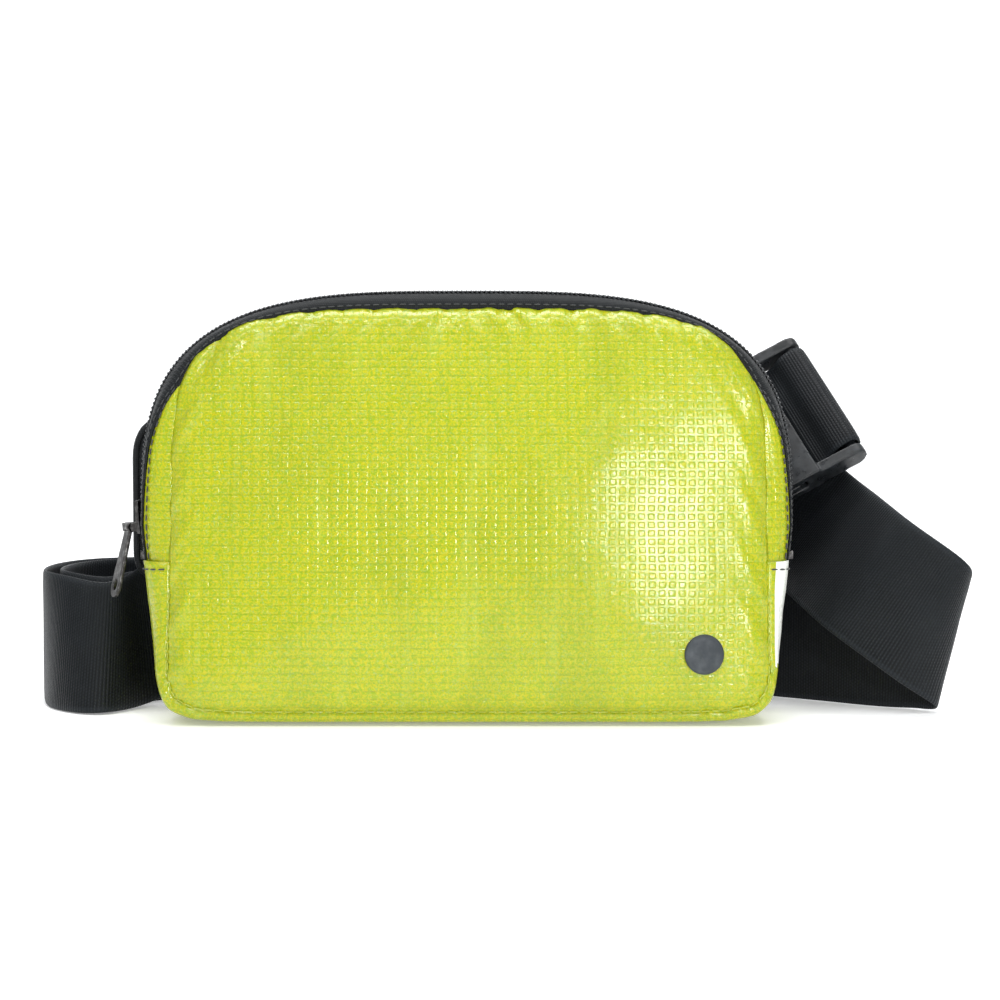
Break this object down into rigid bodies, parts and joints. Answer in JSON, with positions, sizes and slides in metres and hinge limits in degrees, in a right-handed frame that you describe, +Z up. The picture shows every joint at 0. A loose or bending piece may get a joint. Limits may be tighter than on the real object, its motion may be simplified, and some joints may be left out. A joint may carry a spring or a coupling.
{
  "type": "belt bag",
  "caption": "Small zip-top belt bag in glossy laminate, with a webbing belt, a side-release buckle and a strap adjuster.",
  "frame": {"origin": "centre of the bag's flat bottom, on the surface that it stands on", "axes": "+Z up, +Y from the front panel to the back panel, +X to the right as seen from the front"},
  "size_m": [0.3481, 0.1262, 0.1547],
  "materials": {
    "laminate": "glossy mesh-reinforced laminate",
    "black_fabric": "matt woven nylon",
    "webbing": "ribbed webbing with a satin sheen",
    "zip_tape": "coated zip tape, satin",
    "zip_coil": "nylon coil",
    "foam": "soft foam",
    "gunmetal": "dark nickel plate with light wear",
    "plastic": "moulded acetal, fine texture",
    "badge_rubber": "soft moulded rubber"
  },
  "bodies": {
    "bag": {"front_panel": "laminate", "side_strip_left": "laminate", "side_strip_right": "laminate", "bottom_gusset": "laminate", "back_gusset": "black_fabric", "back_panel": "black_fabric", "back_foam": "foam", "back_binding": "black_fabric", "inner_pocket": "black_fabric", "zip_tape_front": "zip_tape", "zip_tape_back": "zip_tape", "zip_coil_front": "zip_coil", "zip_coil_back": "zip_coil", "zip_stop_left": "gunmetal", "zip_stop_right": "gunmetal", "badge": "badge_rubber", "wing_left": "black_fabric", "wing_right": "black_fabric", "strap_left_end": "webbing", "strap_left_loop": "webbing", "strap_far_run": "webbing", "strap_adjuster_fold": "webbing", "strap_tail": "webbing", "adjuster": "plastic", "strap_adjuster_loop": "webbing", "strap_back_run": "webbing", "strap_right_turn": "webbing", "strap_rise": "webbing", "strap_buckle_return": "webbing", "buckle_tab": "webbing", "buckle_plug": "plastic"},
    "slider": {"zip_slider": "gunmetal"},
    "pull": {"pull_tab": "gunmetal"},
    "socket": {"buckle_socket": "plastic", "strap_bar_wrap": "webbing"},
    "upper_prong": {"prong_upper": "plastic"},
    "lower_prong": {"prong_lower": "plastic"}
  },
  "joints": [
    {"name": "zip_travel", "type": "hinge", "parent": "bag", "child": "slider", "pos_m": [0.0024, 0, 0.0824], "axis": [0, 1, 0], "range_deg": [0, 18]},
    {"name": "pull_swing", "type": "hinge", "parent": "slider", "child": "pull", "pos_m": [-0.12243, 0, 0.06903], "axis": [-0.468, 0.8829, -0.037], "range_deg": [-14, 130]},
    {"name": "buckle_release", "type": "slide", "parent": "bag", "child": "socket", "axis": [0.8829, 0, 0.4695], "range_m": [0, 0.03]},
    {"name": "upper_prong_press", "type": "hinge", "parent": "bag", "child": "upper_prong", "pos_m": [0.08703, 0.06647, 0.10329], "axis": [-0.289, -0.788, 0.5436], "range_deg": [-8, 0], "stiffness_Nm_per_rad": 0.05},
    {"name": "lower_prong_press", "type": "hinge", "parent": "bag", "child": "lower_prong", "pos_m": [0.09961, 0.04553, 0.07964], "axis": [-0.289, -0.788, 0.5436], "range_deg": [0, 8], "stiffness_Nm_per_rad": 0.05}
  ]
}
